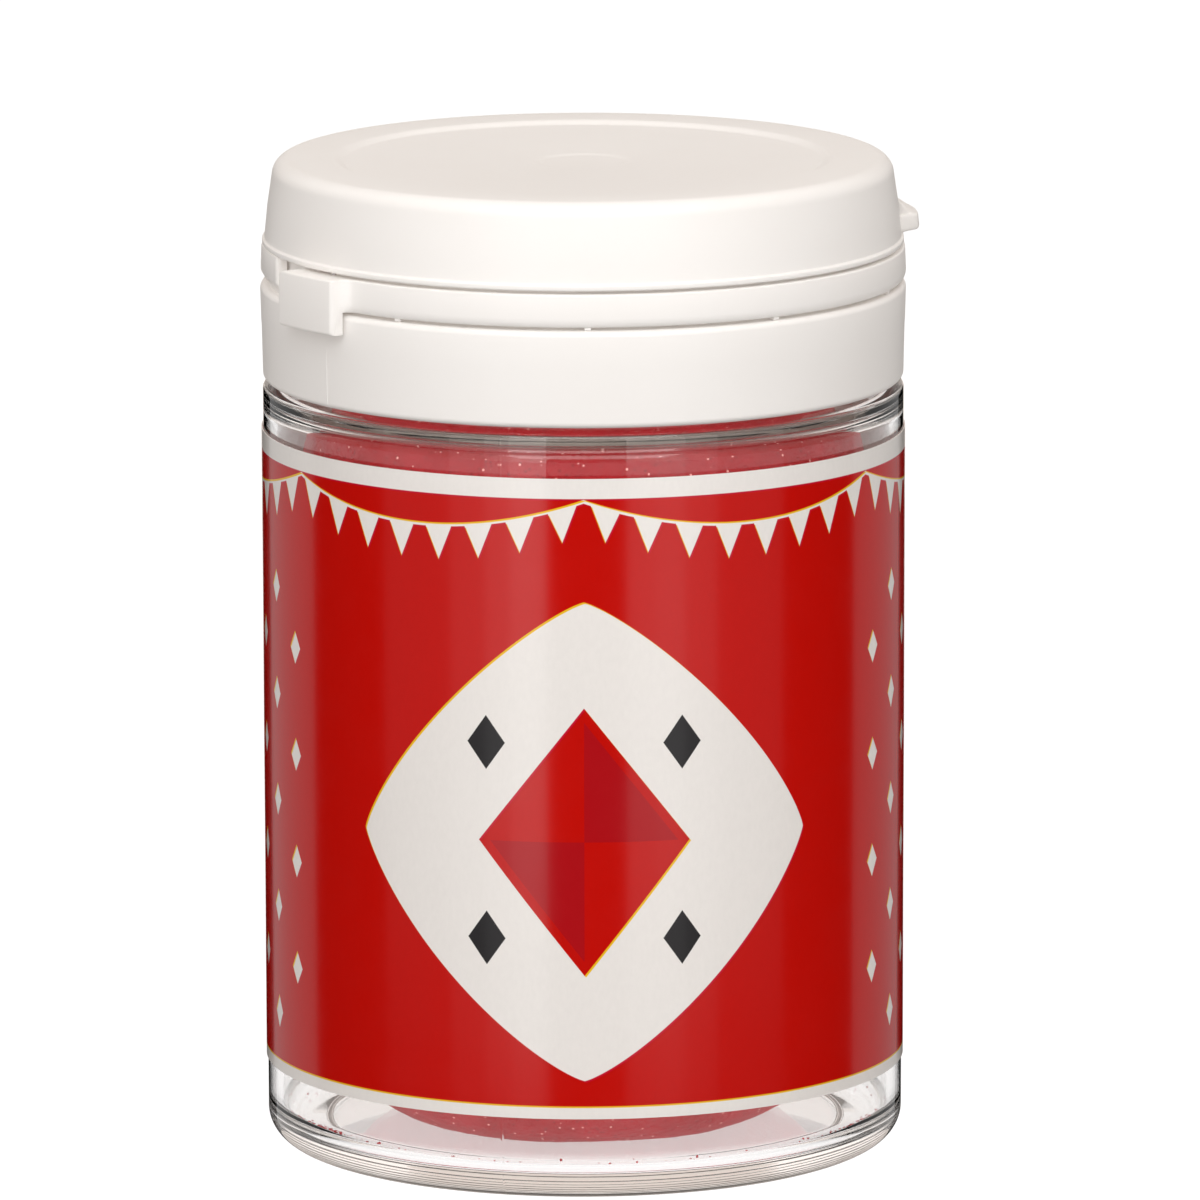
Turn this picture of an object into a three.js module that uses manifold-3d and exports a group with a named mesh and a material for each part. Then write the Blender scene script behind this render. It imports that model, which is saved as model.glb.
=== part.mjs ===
// A red foam clown nose in a clear flip-top jar. Millimetres, +Z up, standing on Z = 0.
// An azimuth is in degrees about the jar's axis: 0 faces -Y, the front, and 90 faces +X.
import * as THREE from "three";
import { mergeVertices } from "three/addons/utils/BufferGeometryUtils.js";
import Module from "manifold-3d";

const wasm = await Module();
wasm.setup();

// Jar
const jarRadius = 24.85;
const jarTaper = 0.1;
const jarWall = 1.0;
const bodyHeight = 59.6;
const heelRadius = 2.4;
const innerHeelRadius = 1.9;
const footWidth = 2.0;
const footRecess = 0.6;
const floorThickness = 1.3;
const shoulderThickness = 1.3;
const neckWall = 1.15;
const neckHeight = 10.8;
const beadReach = 0.55;
const beadHeight = 4.4;
const beadTail = 1.65;

// Label
const labelThickness = 0.1;
const labelGap = 0.05;
const labelFoot = 6.6;
const labelDrop = 3.3;

// Cap ring, with the collar that stands round the neck
const ringProud = 0.15;
const ringTaper = 0.18;
const ringEdge = 0.6;
const ringWall = 1.1;
const ringHeight = 7.5;
const ringShelf = 1.1;
const shoulderGap = 0.5;
const collarWall = 1.1;
const collarHeight = 4.1;
const neckGap = 0.35;
const hookLip = 0.4;
const notchOffset = 25.0;
const notchWidth = 2.3;
const notchDepth = 1.7;

// Tear band, its pull tab and the bridges that hold it to the ring
const capGap = 0.25;
const bandHeight = 2.55;
const bandWall = 0.9;
const bandEdge = 0.5;
const bandGap = 0.3;
const tabOffset = 18.0;
const tabWidth = 7.2;
const tabReach = 1.5;
const tabDrop = 1.7;
const tabEdge = 0.45;
const bridgeCount = 9;
const bridgeWidth = 0.5;
const bridgeDepth = 0.6;
const bridgeGap = 0.05;

// Lid
const lidSetback = 0.3;
const lidHeight = 6.6;
const lidTaper = 0.65;
const lidLip = 0.14;
const lidLipHeight = 0.45;
const lidWall = 0.62;
const lidPlate = 1.2;
const lidCorner = 1.3;
const dishRim = 5.2;
const dishDepth = 0.35;
const dishSlope = 0.8;
const plugGap = 0.4;
const plugLead = 0.65;
const plugWall = 1.0;
const plugDepth = 2.3;

// Thumb tab, in plan a ledge with slanted sides and a bowed tip
const thumbMiddle = 100.0;
const thumbWidth = 9.8;
const thumbTip = 5.2;
const thumbReach = 1.7;
const thumbBow = 0.2;
const thumbThickness = 1.35;
const thumbLift = 0.55;

// Film hinge, opposite the thumb tab
const hingeMiddle = thumbMiddle - 180.0;
const hingeWidth = 7.8;
const hingeSetback = 0.1;
const hingeGap = 0.25;
const hingeRoom = 1.0;

// Foam nose, squeezed into a barrel by the jar, with a lens-shaped slit in its upper end
const noseGap = 0.35;
const noseFoot = 0.4;
const noseRise = 4.7;
const noseSquareness = 3.4;
const slitLength = 24.0;
const slitWidth = 9.0;
const slitDepth = 22.0;

// Facets
const roundSteps = 56;
const edgeSteps = 3;
const cornerSteps = 5;
const noseSteps = 22;
const cutMargin = 1.0;

const degree = Math.PI / 180;
const capWhite = 0xf4f2ee;

// Radii, worked inwards from the jar's wall
const ringRadius = jarRadius + ringProud;
const bandBore = ringRadius - bandWall;
const collarRadius = bandBore - bandGap;
const collarBore = collarRadius - collarWall;
const neckRadius = collarBore - neckGap;
const neckBore = neckRadius - neckWall;
const jarFootRadius = jarRadius - jarTaper;
const lidRadius = ringRadius - lidSetback;
const lidTopRadius = lidRadius - lidTaper;

// Heights, worked upwards from the foot
const floorTop = footRecess + floorThickness;
const beadFoot = bodyHeight + beadHeight;
const neckTop = bodyHeight + neckHeight;
const labelTop = bodyHeight - labelDrop;
const ringFoot = bodyHeight + shoulderGap;
const ringTop = ringFoot + ringHeight;
const collarTop = ringTop + collarHeight;
const bandFoot = ringTop + capGap;
const bandTop = bandFoot + bandHeight;
const lidFoot = bandTop + capGap;
const lidTop = lidFoot + lidHeight;
const noseTop = bodyHeight + noseRise;

function point(radius, height) {
  return new THREE.Vector2(radius, height);
}

// A stretch of a circle in a profile: 0 degrees points outwards and 90 points up.
function arc(centreRadius, centreHeight, radius, from, to, steps = edgeSteps) {
  return Array.from({ length: steps + 1 }, (_, i) => {
    const angle = (from + ((to - from) * i) / steps) * degree;
    return point(centreRadius + radius * Math.cos(angle), centreHeight + radius * Math.sin(angle));
  });
}

function solidOf(geometry) {
  geometry.deleteAttribute("normal");
  geometry.deleteAttribute("uv");
  const merged = mergeVertices(geometry, 1e-4);
  return new wasm.Manifold(
    new wasm.Mesh({
      numProp: 3,
      vertProperties: new Float32Array(merged.attributes.position.array),
      triVerts: new Uint32Array(merged.index.array),
    }),
  );
}

// A profile from axis to axis, turned about the jar's axis. Its outer side runs upwards.
function turned(profile) {
  const geometry = new THREE.LatheGeometry(profile, roundSteps);
  geometry.rotateX(Math.PI / 2);
  return solidOf(geometry);
}

function turnedRing(profile) {
  return turned([...profile, profile[0].clone()]);
}

function upright(shape, foot, top) {
  const geometry = new THREE.ExtrudeGeometry(shape, { depth: top - foot, bevelEnabled: false });
  geometry.translate(0, 0, foot);
  return solidOf(geometry);
}

function outline(...corners) {
  return new THREE.Shape(corners.map(([x, y]) => new THREE.Vector2(x, y)));
}

// A bar from one radius to another, as wide all the way, turned to an azimuth.
function bar(azimuth, width, inner, outer, foot, top) {
  const half = width / 2;
  const shape = outline([-half, -outer], [half, -outer], [half, -inner], [-half, -inner]);
  return upright(shape, foot, top).rotate([0, 0, azimuth]);
}

// A slice of a round cake between two azimuths, larger than the cap.
function wedge(from, to, foot, top) {
  const reach = 2 * ringRadius;
  const side = (azimuth) => [reach * Math.sin(azimuth * degree), -reach * Math.cos(azimuth * degree)];
  return upright(outline([0, 0], side(from), side(to)), foot, top);
}

function spanOf(width, radius) {
  return (2 * Math.asin(width / (2 * radius))) / degree;
}

function meshOf(name, solid, material) {
  const made = solid.getMesh();
  const indexed = new THREE.BufferGeometry();
  indexed.setAttribute("position", new THREE.BufferAttribute(made.vertProperties, made.numProp));
  indexed.setIndex(new THREE.BufferAttribute(made.triVerts, 1));
  const geometry = indexed.toNonIndexed();
  geometry.computeVertexNormals();
  const mesh = new THREE.Mesh(geometry, material);
  mesh.name = name;
  return mesh;
}

function finish(color, roughness, opacity = 1) {
  const transparent = opacity < 1;
  return new THREE.MeshStandardMaterial({ color, roughness, metalness: 0, opacity, transparent });
}

// The jar: a recessed foot, nearly straight walls, a square shoulder and a neck with a snap bead.
function makeJar() {
  const innerRadius = jarRadius - jarWall;
  const innerFootRadius = jarFootRadius - jarWall;
  const shoulderUnder = bodyHeight - shoulderThickness;
  const footInner = jarFootRadius - heelRadius - footWidth;
  const profile = [
    point(0, footRecess),
    point(footInner - footRecess, footRecess),
    point(footInner, 0),
    ...arc(jarFootRadius - heelRadius, heelRadius, heelRadius, -90, 0, cornerSteps),
    point(jarRadius, bodyHeight),
    point(neckRadius, bodyHeight),
    point(neckRadius, beadFoot),
    point(neckRadius + beadReach, beadFoot + beadReach / 2),
    point(neckRadius, beadFoot + beadTail),
    point(neckRadius, neckTop),
    point(neckBore, neckTop),
    point(neckBore, shoulderUnder),
    point(innerRadius, shoulderUnder - (innerRadius - neckBore) / 2),
    ...arc(innerFootRadius - innerHeelRadius, floorTop + innerHeelRadius, innerHeelRadius, 0, -90),
    point(0, floorTop),
  ];
  return meshOf("jar", turned(profile), finish(0xf6f4f4, 0.05, 0.3));
}

// The label: a thin printed sleeve that follows the jar's slight taper.
function makeLabel() {
  const boreAt = (height) => jarRadius + labelGap - jarTaper * (1 - height / bodyHeight);
  const profile = [
    point(boreAt(labelFoot), labelFoot),
    point(boreAt(labelFoot) + labelThickness, labelFoot),
    point(boreAt(labelTop) + labelThickness, labelTop),
    point(boreAt(labelTop), labelTop),
  ];
  return meshOf("label", turnedRing(profile), finish(0xc01818, 0.3));
}

// The cap ring: a skirt with a hook under the neck's bead, a shelf over the bead, and the collar.
function makeCapRing() {
  const footRadius = ringRadius - ringTaper;
  const skirtBore = ringRadius - ringWall;
  const hookBore = neckRadius + bandGap;
  const hookTop = beadFoot - capGap;
  const shelfFoot = ringTop - ringShelf;
  const profile = [
    ...arc(footRadius - ringEdge, ringFoot + ringEdge, ringEdge, -90, 0),
    ...arc(ringRadius - ringEdge, ringTop - ringEdge, ringEdge, 0, 90),
    point(collarRadius, ringTop),
    point(collarRadius, collarTop),
    point(collarBore, collarTop),
    point(collarBore, shelfFoot),
    point(skirtBore, shelfFoot),
    point(skirtBore, hookTop),
    point(hookBore, hookTop - hookLip),
    point(hookBore, hookTop - 2 * hookLip),
    point(skirtBore, ringFoot),
  ];
  const notchFoot = collarTop - notchDepth;
  const notchAzimuth = hingeMiddle + notchOffset;
  const notch = bar(notchAzimuth, notchWidth, neckBore, ringRadius, notchFoot, lidTop);
  return meshOf("cap_ring", turnedRing(profile).subtract(notch), finish(capWhite, 0.45));
}

// A bridge of the tear band, which ends just short of the ring.
function makeBridge(azimuth) {
  const foot = ringTop + bridgeGap;
  return bar(azimuth, bridgeWidth, bandBore, bandBore + bridgeDepth, foot, bandFoot + capGap);
}

// The tear band leaves the hinge free, and its pull tab hangs down in front of the ring.
function makeTearBand() {
  const tabRadius = ringRadius + tabReach;
  const tabBore = ringRadius + bandGap;
  const tabFoot = bandFoot - tabDrop;
  const bandProfile = [
    ...arc(ringRadius - bandEdge, bandFoot + bandEdge, bandEdge, -90, 0),
    point(ringRadius, bandTop),
    point(bandBore, bandTop),
    point(bandBore, bandFoot),
  ];
  const tabProfile = [
    ...arc(tabRadius - tabEdge, tabFoot + tabEdge, tabEdge, -90, 0),
    ...arc(tabRadius - tabEdge, bandTop - tabEdge, tabEdge, 0, 90),
    point(bandBore, bandTop),
    point(bandBore, bandFoot),
    point(tabBore, bandFoot),
    point(tabBore, tabFoot),
  ];
  const bandEnd = hingeMiddle - spanOf(hingeWidth + 2 * hingeRoom, ringRadius) / 2;
  const tabStart = hingeMiddle + tabOffset;
  const tabEnd = tabStart + spanOf(tabWidth, tabRadius);
  const opening = wedge(bandEnd, tabStart, bandFoot - cutMargin, bandTop + cutMargin);
  const tabSlice = wedge(tabStart, tabEnd, tabFoot - cutMargin, bandTop + cutMargin);
  const tab = turnedRing(tabProfile).intersect(tabSlice);
  const bridgeSpan = (360 + bandEnd - tabEnd) / bridgeCount;
  const azimuths = Array.from({ length: bridgeCount }, (_, i) => tabEnd + (i + 0.5) * bridgeSpan);
  const band = turnedRing(bandProfile).subtract(opening).add(tab);
  const solid = azimuths.reduce((whole, azimuth) => whole.add(makeBridge(azimuth)), band);
  return meshOf("tear_band", solid, finish(capWhite, 0.45));
}

// The block that hangs from the lid to the film hinge. Its chamfer lets it swing over the ring.
function makeHingeBlock() {
  const outer = ringRadius - hingeSetback;
  const inner = collarRadius + capGap;
  const foot = ringTop + hingeGap;
  const top = lidFoot + lidLipHeight;
  const profile = [
    point(inner, foot),
    point(outer, foot + outer - inner),
    point(outer, lidFoot),
    point(lidRadius, top),
    point(inner, top),
  ];
  const cut = bar(hingeMiddle, hingeWidth, neckBore, ringRadius + cutMargin, foot - cutMargin, lidTop);
  return turnedRing(profile).intersect(cut);
}

// The ledge that a thumb lifts. In plan it leaves the skirt at a slant on both sides.
function makeThumbTab() {
  const foot = lidFoot + thumbLift;
  const root = collarRadius + capGap;
  const tip = lidRadius + thumbReach;
  const shape = new THREE.Shape();
  shape.moveTo(-thumbWidth / 2, -root);
  shape.lineTo(-thumbTip / 2, thumbBow - tip);
  shape.quadraticCurveTo(0, -thumbBow - tip, thumbTip / 2, thumbBow - tip);
  shape.lineTo(thumbWidth / 2, -root);
  shape.closePath();
  return upright(shape, foot, foot + thumbThickness).rotate([0, 0, thumbMiddle]);
}

// The lid: a leaning skirt with a small lip, a dished plate and a plug that seats in the neck.
function makeLid() {
  const lean = Math.atan(lidTaper / lidHeight) / degree;
  const plateUnder = lidTop - dishDepth - lidPlate;
  const plugRadius = neckBore - plugGap;
  const plugFootRadius = plugRadius - plugLead;
  const plugBore = plugFootRadius - plugWall;
  const plugFoot = neckTop - plugDepth;
  const dishRadius = lidTopRadius - dishRim;
  const profile = [
    point(0, plateUnder),
    point(plugBore, plateUnder),
    point(plugBore, plugFoot),
    point(plugFootRadius, plugFoot),
    point(plugRadius, neckTop + capGap),
    point(plugRadius, plateUnder),
    point(lidTopRadius - lidWall, plateUnder),
    point(collarRadius + capGap, collarTop + capGap),
    point(collarRadius + capGap, lidFoot),
    ...arc(lidRadius, lidFoot + lidLip, lidLip, -90, 0),
    point(lidRadius + lidLip, lidFoot + lidLipHeight - lidLip),
    point(lidRadius, lidFoot + lidLipHeight),
    ...arc(lidTopRadius - lidCorner, lidTop - lidCorner, lidCorner, lean, 90, cornerSteps),
    point(dishRadius + dishSlope, lidTop),
    point(dishRadius, lidTop - dishDepth),
    point(0, lidTop - dishDepth),
  ];
  const solid = turned(profile).add(makeThumbTab()).add(makeHingeBlock());
  return meshOf("lid", solid, finish(capWhite, 0.45));
}

// The foam nose: a ball pressed into a barrel, with the slit that the wearer's nose goes into.
function makeNose() {
  const foot = floorTop + noseFoot;
  const radius = jarFootRadius - jarWall - noseGap;
  const half = (noseTop - foot) / 2;
  const rounded = (share) => Math.sign(share) * Math.pow(Math.abs(share), 2 / noseSquareness);
  const sides = Array.from({ length: noseSteps - 1 }, (_, i) => {
    const angle = ((i + 1) / noseSteps - 0.5) * Math.PI;
    return point(radius * rounded(Math.cos(angle)), foot + half * (1 + rounded(Math.sin(angle))));
  });
  const slit = new THREE.Shape();
  slit.moveTo(-slitLength / 2, 0);
  slit.quadraticCurveTo(0, -slitWidth, slitLength / 2, 0);
  slit.quadraticCurveTo(0, slitWidth, -slitLength / 2, 0);
  const hollow = upright(slit, noseTop - slitDepth, noseTop + cutMargin);
  const solid = turned([point(0, foot), ...sides, point(0, noseTop)]).subtract(hollow);
  return meshOf("nose", solid, finish(0xc4121c, 0.95));
}

const group = new THREE.Group();
group.add(makeJar(), makeLabel(), makeCapRing(), makeTearBand(), makeLid(), makeNose());

// The thumb tab reaches past the ring on one side, so the box's middle lies off the jar's axis.
group.position.x = (ringRadius - lidRadius - thumbReach) / 2;

export default group;
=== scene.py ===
"""A red foam clown nose in its clear flip-top jar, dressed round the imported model.

Sizes are in millimetres and become metres where a mesh, light or camera is made. An azimuth is in
degrees about the jar's axis: 0 faces -Y, the camera's side, and 90 faces +X.
"""
import math
import random

import bmesh
import bpy
from mathutils import Matrix, Vector, noise


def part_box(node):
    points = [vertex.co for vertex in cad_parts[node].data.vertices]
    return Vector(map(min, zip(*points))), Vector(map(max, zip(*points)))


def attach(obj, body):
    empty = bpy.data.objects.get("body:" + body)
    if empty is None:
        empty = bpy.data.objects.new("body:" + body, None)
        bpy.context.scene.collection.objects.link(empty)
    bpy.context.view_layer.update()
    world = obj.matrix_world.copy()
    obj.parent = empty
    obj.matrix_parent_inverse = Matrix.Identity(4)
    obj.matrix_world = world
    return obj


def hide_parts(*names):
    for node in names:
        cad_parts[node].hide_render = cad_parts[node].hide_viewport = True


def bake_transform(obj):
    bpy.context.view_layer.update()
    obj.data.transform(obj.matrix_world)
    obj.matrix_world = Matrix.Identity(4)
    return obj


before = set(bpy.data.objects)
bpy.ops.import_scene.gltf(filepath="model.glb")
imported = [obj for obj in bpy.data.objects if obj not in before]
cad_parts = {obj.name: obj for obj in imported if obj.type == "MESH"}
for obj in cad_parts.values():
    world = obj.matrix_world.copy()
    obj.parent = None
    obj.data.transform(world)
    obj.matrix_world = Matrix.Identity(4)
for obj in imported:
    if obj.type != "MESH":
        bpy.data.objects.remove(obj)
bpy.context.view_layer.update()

MM = 0.001


def box_mm(node):
    low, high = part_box(node)
    return low / MM, high / MM


jar_low, jar_high = box_mm("jar")
label_low, label_high = box_mm("label")
ring_low, ring_high = box_mm("cap_ring")
band_low, band_high = box_mm("tear_band")
lid_low, lid_high = box_mm("lid")
nose_low, nose_high = box_mm("nose")

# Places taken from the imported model
AXIS_X = (label_low.x + label_high.x) / 2
JAR_RADIUS = (jar_high.x - jar_low.x) / 2
NECK_TOP = jar_high.z
LABEL_RADIUS = (label_high.x - label_low.x) / 2
LABEL_FOOT = label_low.z
LABEL_TOP = label_high.z
RING_RADIUS = (ring_high.x - ring_low.x) / 2
RING_FOOT = ring_low.z
COLLAR_TOP = ring_high.z
TAB_FOOT = band_low.z
BAND_TOP = band_high.z
LID_TOP = lid_high.z
NOSE_RADIUS = (nose_high.x - nose_low.x) / 2
NOSE_TOP = nose_high.z

# Jar
JAR_TAPER = 0.1
JAR_WALL = 1.0
NECK_HEIGHT = 10.8
NECK_WALL = 1.15
NECK_PLAY = 0.35
HEEL_RADIUS = 2.4
INNER_HEEL_RADIUS = 1.9
FOOT_WIDTH = 2.0
FOOT_RECESS = 0.6
FOOT_EDGE = 0.3
FOOT_STEP = 1.2
FLOOR_THICKNESS = 1.3
SHOULDER_THICKNESS = 0.95
SHOULDER_FILLET = 1.6
SHOULDER_EDGE = 0.35
NECK_FILLET = 0.4
LIP_EDGE = 0.3
NECK_EDGE = 0.5
BEAD_HEIGHT = 4.4
BEAD_REACH = 0.55
BEAD_LENGTH = 1.65
SHOULDER = NECK_TOP - NECK_HEIGHT
JAR_SEAM = -14.8
JAR_SEAM_PROUD = 0.03
JAR_SEAM_WIDTH = 0.22

# Label
LABEL_FILM = 0.08
LABEL_SEAM = 158.0
LABEL_OVERLAP = 4.0
LABEL_LAP_RUN = 3.0
LABEL_WAVE = 0.012
LABEL_STEPS = 300
LABEL_ROWS = 40
TOP_BORDER = 1.54
LOW_BORDER = 1.0

# Cap ring
CAP_GAP = 0.25
RING_TAPER = 0.18
RING_EDGE = 0.5
RING_WALL = 1.1
RING_SHELF = 1.1
COLLAR_HEIGHT = 4.1
COLLAR_RADIUS = RING_RADIUS - 1.2
COLLAR_BORE = COLLAR_RADIUS - 1.1
COLLAR_EDGE = 0.2
HOOK_BORE = 22.65
HOOK_LIP = 0.4
RING_TOP = COLLAR_TOP - COLLAR_HEIGHT
NOTCH_MIDDLE = -55.0
NOTCH_WIDTH = 2.3
NOTCH_DEPTH = 1.7
RING_SEAM = -52.0
RING_SEAM_PROUD = 0.035
RING_SEAM_WIDTH = 0.2
RING_SEAM_TOP = 64.6

# Tear band
BAND_BORE = RING_RADIUS - 0.9
BAND_FOOT = RING_TOP + CAP_GAP
BAND_EDGE_DEPTH = 0.4
BAND_EDGE_HEIGHT = 0.7
BAND_TOP_EDGE = 0.14
BAND_END = -91.3
TAB_START = -62.0
TAB_END = -46.4
TAB_REACH = 1.5
TAB_BORE = RING_RADIUS + 0.3
TAB_EDGE = 0.3
TAB_FILLET = 0.8
TAB_CORNER = 0.7
BAND_LEAN = 0.07
NIB_FIRST = -34.9
NIB_COUNT = 8
NIB_WIDTH = 0.5
NIB_DROP = 0.2

# Lid
LID_FOOT = BAND_TOP + CAP_GAP
LID_RADIUS = RING_RADIUS - 0.3
LID_TOP_RADIUS = LID_RADIUS - 0.65
LID_LIP = 0.14
LID_LIP_HEIGHT = 0.45
LID_CORNER = 1.3
LID_WALL = 0.62
LID_PLATE = 1.2
LID_BORE = COLLAR_RADIUS + CAP_GAP
DISH_RADIUS = 18.85
DISH_DEPTH = 0.35
DISH_SLOPE = 1.0
GATE_RADIUS = 3.6
GATE_DEPTH = 0.12
PLUG_RADIUS = 20.8
PLUG_FOOT_RADIUS = 20.15
PLUG_BORE = 19.15
PLUG_DEPTH = 2.3
PLUG_EDGE = 0.3

# Thumb tab on the lid
THUMB_MIDDLE = 100.0
THUMB_REACH = 1.7
THUMB_TIP = 5.2
THUMB_ROOT = 8.6
THUMB_BOW = 0.2
THUMB_FOOT = LID_FOOT + 0.55
THUMB_THICKNESS = 1.35
THUMB_EDGE = 0.3

# Hinge block on the lid, and the film that joins it to the ring
HINGE_MIDDLE = THUMB_MIDDLE - 180.0
HINGE_WIDTH = 7.8
HINGE_RADIUS = RING_RADIUS - 0.1
HINGE_FOOT = RING_TOP + CAP_GAP
HINGE_EDGE = 0.3
FILM_WIDTH = 7.2
FILM_THICKNESS = 0.26
FILM_RADIUS = 24.25
FILM_SEAT = 0.35
FILM_WAIST = 0.06

# Foam nose
NOSE_SEAT = 1.96
NOSE_SEAT_RADIUS = 12.0
NOSE_SEAT_RISE = 23.0
NOSE_SEAT_FULLNESS = 2.2
NOSE_CROWN_RADIUS = 13.0
NOSE_CROWN_DROP = 27.0
NOSE_CROWN_FULLNESS = 2.5
SLIT_LENGTH = 24.0
SLIT_WIDTH = 9.0
SLIT_DEPTH = 22.0
SLIT_EDGE = 1.2
FOAM_CELL = 0.55
FOAM_ROUGHNESS = 0.045
FOAM_GRAIN = 1.7 * FOAM_CELL
FOAM_DENT = 0.12
FOAM_DENT_SIZE = 9.0
FOAM_VOXEL = 0.45

# Camera, found from the photograph's own perspective
CAMERA_LENS = 390.0
CAMERA_DISTANCE = 994.2
CAMERA_HEIGHT = 227.97
CAMERA_PITCH = 0.1846
CAMERA_YAW = 0.00127
CAMERA_ROLL = -0.00198

ROUND_COLUMNS = 256
DETAIL_STEP = 0.06


def arc(centre_radius, centre_height, radius, start, end, steps, height=None):
    """Points of a round edge in a profile. 0 degrees points outwards and 90 points up."""
    tall = radius if height is None else height
    points = []
    for i in range(steps + 1):
        angle = math.radians(start + (end - start) * i / steps)
        points.append((centre_radius + radius * math.cos(angle), centre_height + tall * math.sin(angle)))
    return points


def place(azimuth, radius, height):
    """A point round the jar's axis, in metres."""
    angle = math.radians(azimuth)
    across = AXIS_X + radius * math.sin(angle)
    return Vector((across * MM, -radius * math.cos(angle) * MM, height * MM))


def around(radius, azimuth):
    """The length along a circle from azimuth 0."""
    return radius * math.radians(azimuth)


def spread(azimuth, middle):
    """The signed angle from a middle azimuth, the short way round."""
    return (azimuth - middle + 180.0) % 360.0 - 180.0


def columns(*details):
    """Azimuths all the way round, with extra ones across each (middle, width in degrees)."""
    found = {round(i * 360.0 / ROUND_COLUMNS - 180.0, 4) for i in range(ROUND_COLUMNS)}
    for middle, width, count in details:
        for i in range(count + 1):
            azimuth = middle + width * (i / count - 0.5)
            found.add(round((azimuth + 180.0) % 360.0 - 180.0, 4))
    return sorted(found)


def clamp(value):
    return min(1.0, max(0.0, value))


def rounding(distance, radius):
    """How far a rounded edge of that radius has drawn back at a distance inside the edge."""
    if distance >= radius:
        return 0.0
    reach = radius - max(0.0, distance)
    return radius - math.sqrt(radius * radius - reach * reach)


def mesh_object(name, vertices, faces, sharp=35.0):
    mesh = bpy.data.meshes.new(name)
    mesh.from_pydata(vertices, [], faces)
    work = bmesh.new()
    work.from_mesh(mesh)
    bmesh.ops.remove_doubles(work, verts=work.verts, dist=1e-8)
    bmesh.ops.recalc_face_normals(work, faces=work.faces)
    work.to_mesh(mesh)
    work.free()
    mesh.shade_smooth()
    mesh.set_sharp_from_angle(angle=math.radians(sharp))
    piece = bpy.data.objects.new(name, mesh)
    bpy.context.scene.collection.objects.link(piece)
    return piece


def lofted(name, azimuths, section, ring=True, loop=True, sharp=35.0):
    """A skin through one section at each azimuth. A ring closes on itself; otherwise its ends are capped.

    section(azimuth) gives as many (radius, height) points each time. With loop the section closes on
    itself, and without it the section runs from the axis to the axis.
    """
    rows = [section(azimuth) for azimuth in azimuths]
    size = len(rows[0])
    vertices = [place(a, r, z) for a, row in zip(azimuths, rows) for r, z in row]
    faces = []
    pairs = len(rows) if ring else len(rows) - 1
    spans = size if loop else size - 1
    for i in range(pairs):
        here = i * size
        there = (i + 1) % len(rows) * size
        for j in range(spans):
            k = (j + 1) % size
            faces.append((here + j, there + j, there + k, here + k))
    if not ring:
        faces.append(tuple(range(size)))
        faces.append(tuple(reversed(range((len(rows) - 1) * size, len(rows) * size))))
    return mesh_object(name, vertices, faces, sharp)


def dress(piece, material, body, slot, *nodes):
    piece.data.materials.append(material)
    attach(piece, body)
    if nodes:
        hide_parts(*nodes)
    return piece


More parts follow.
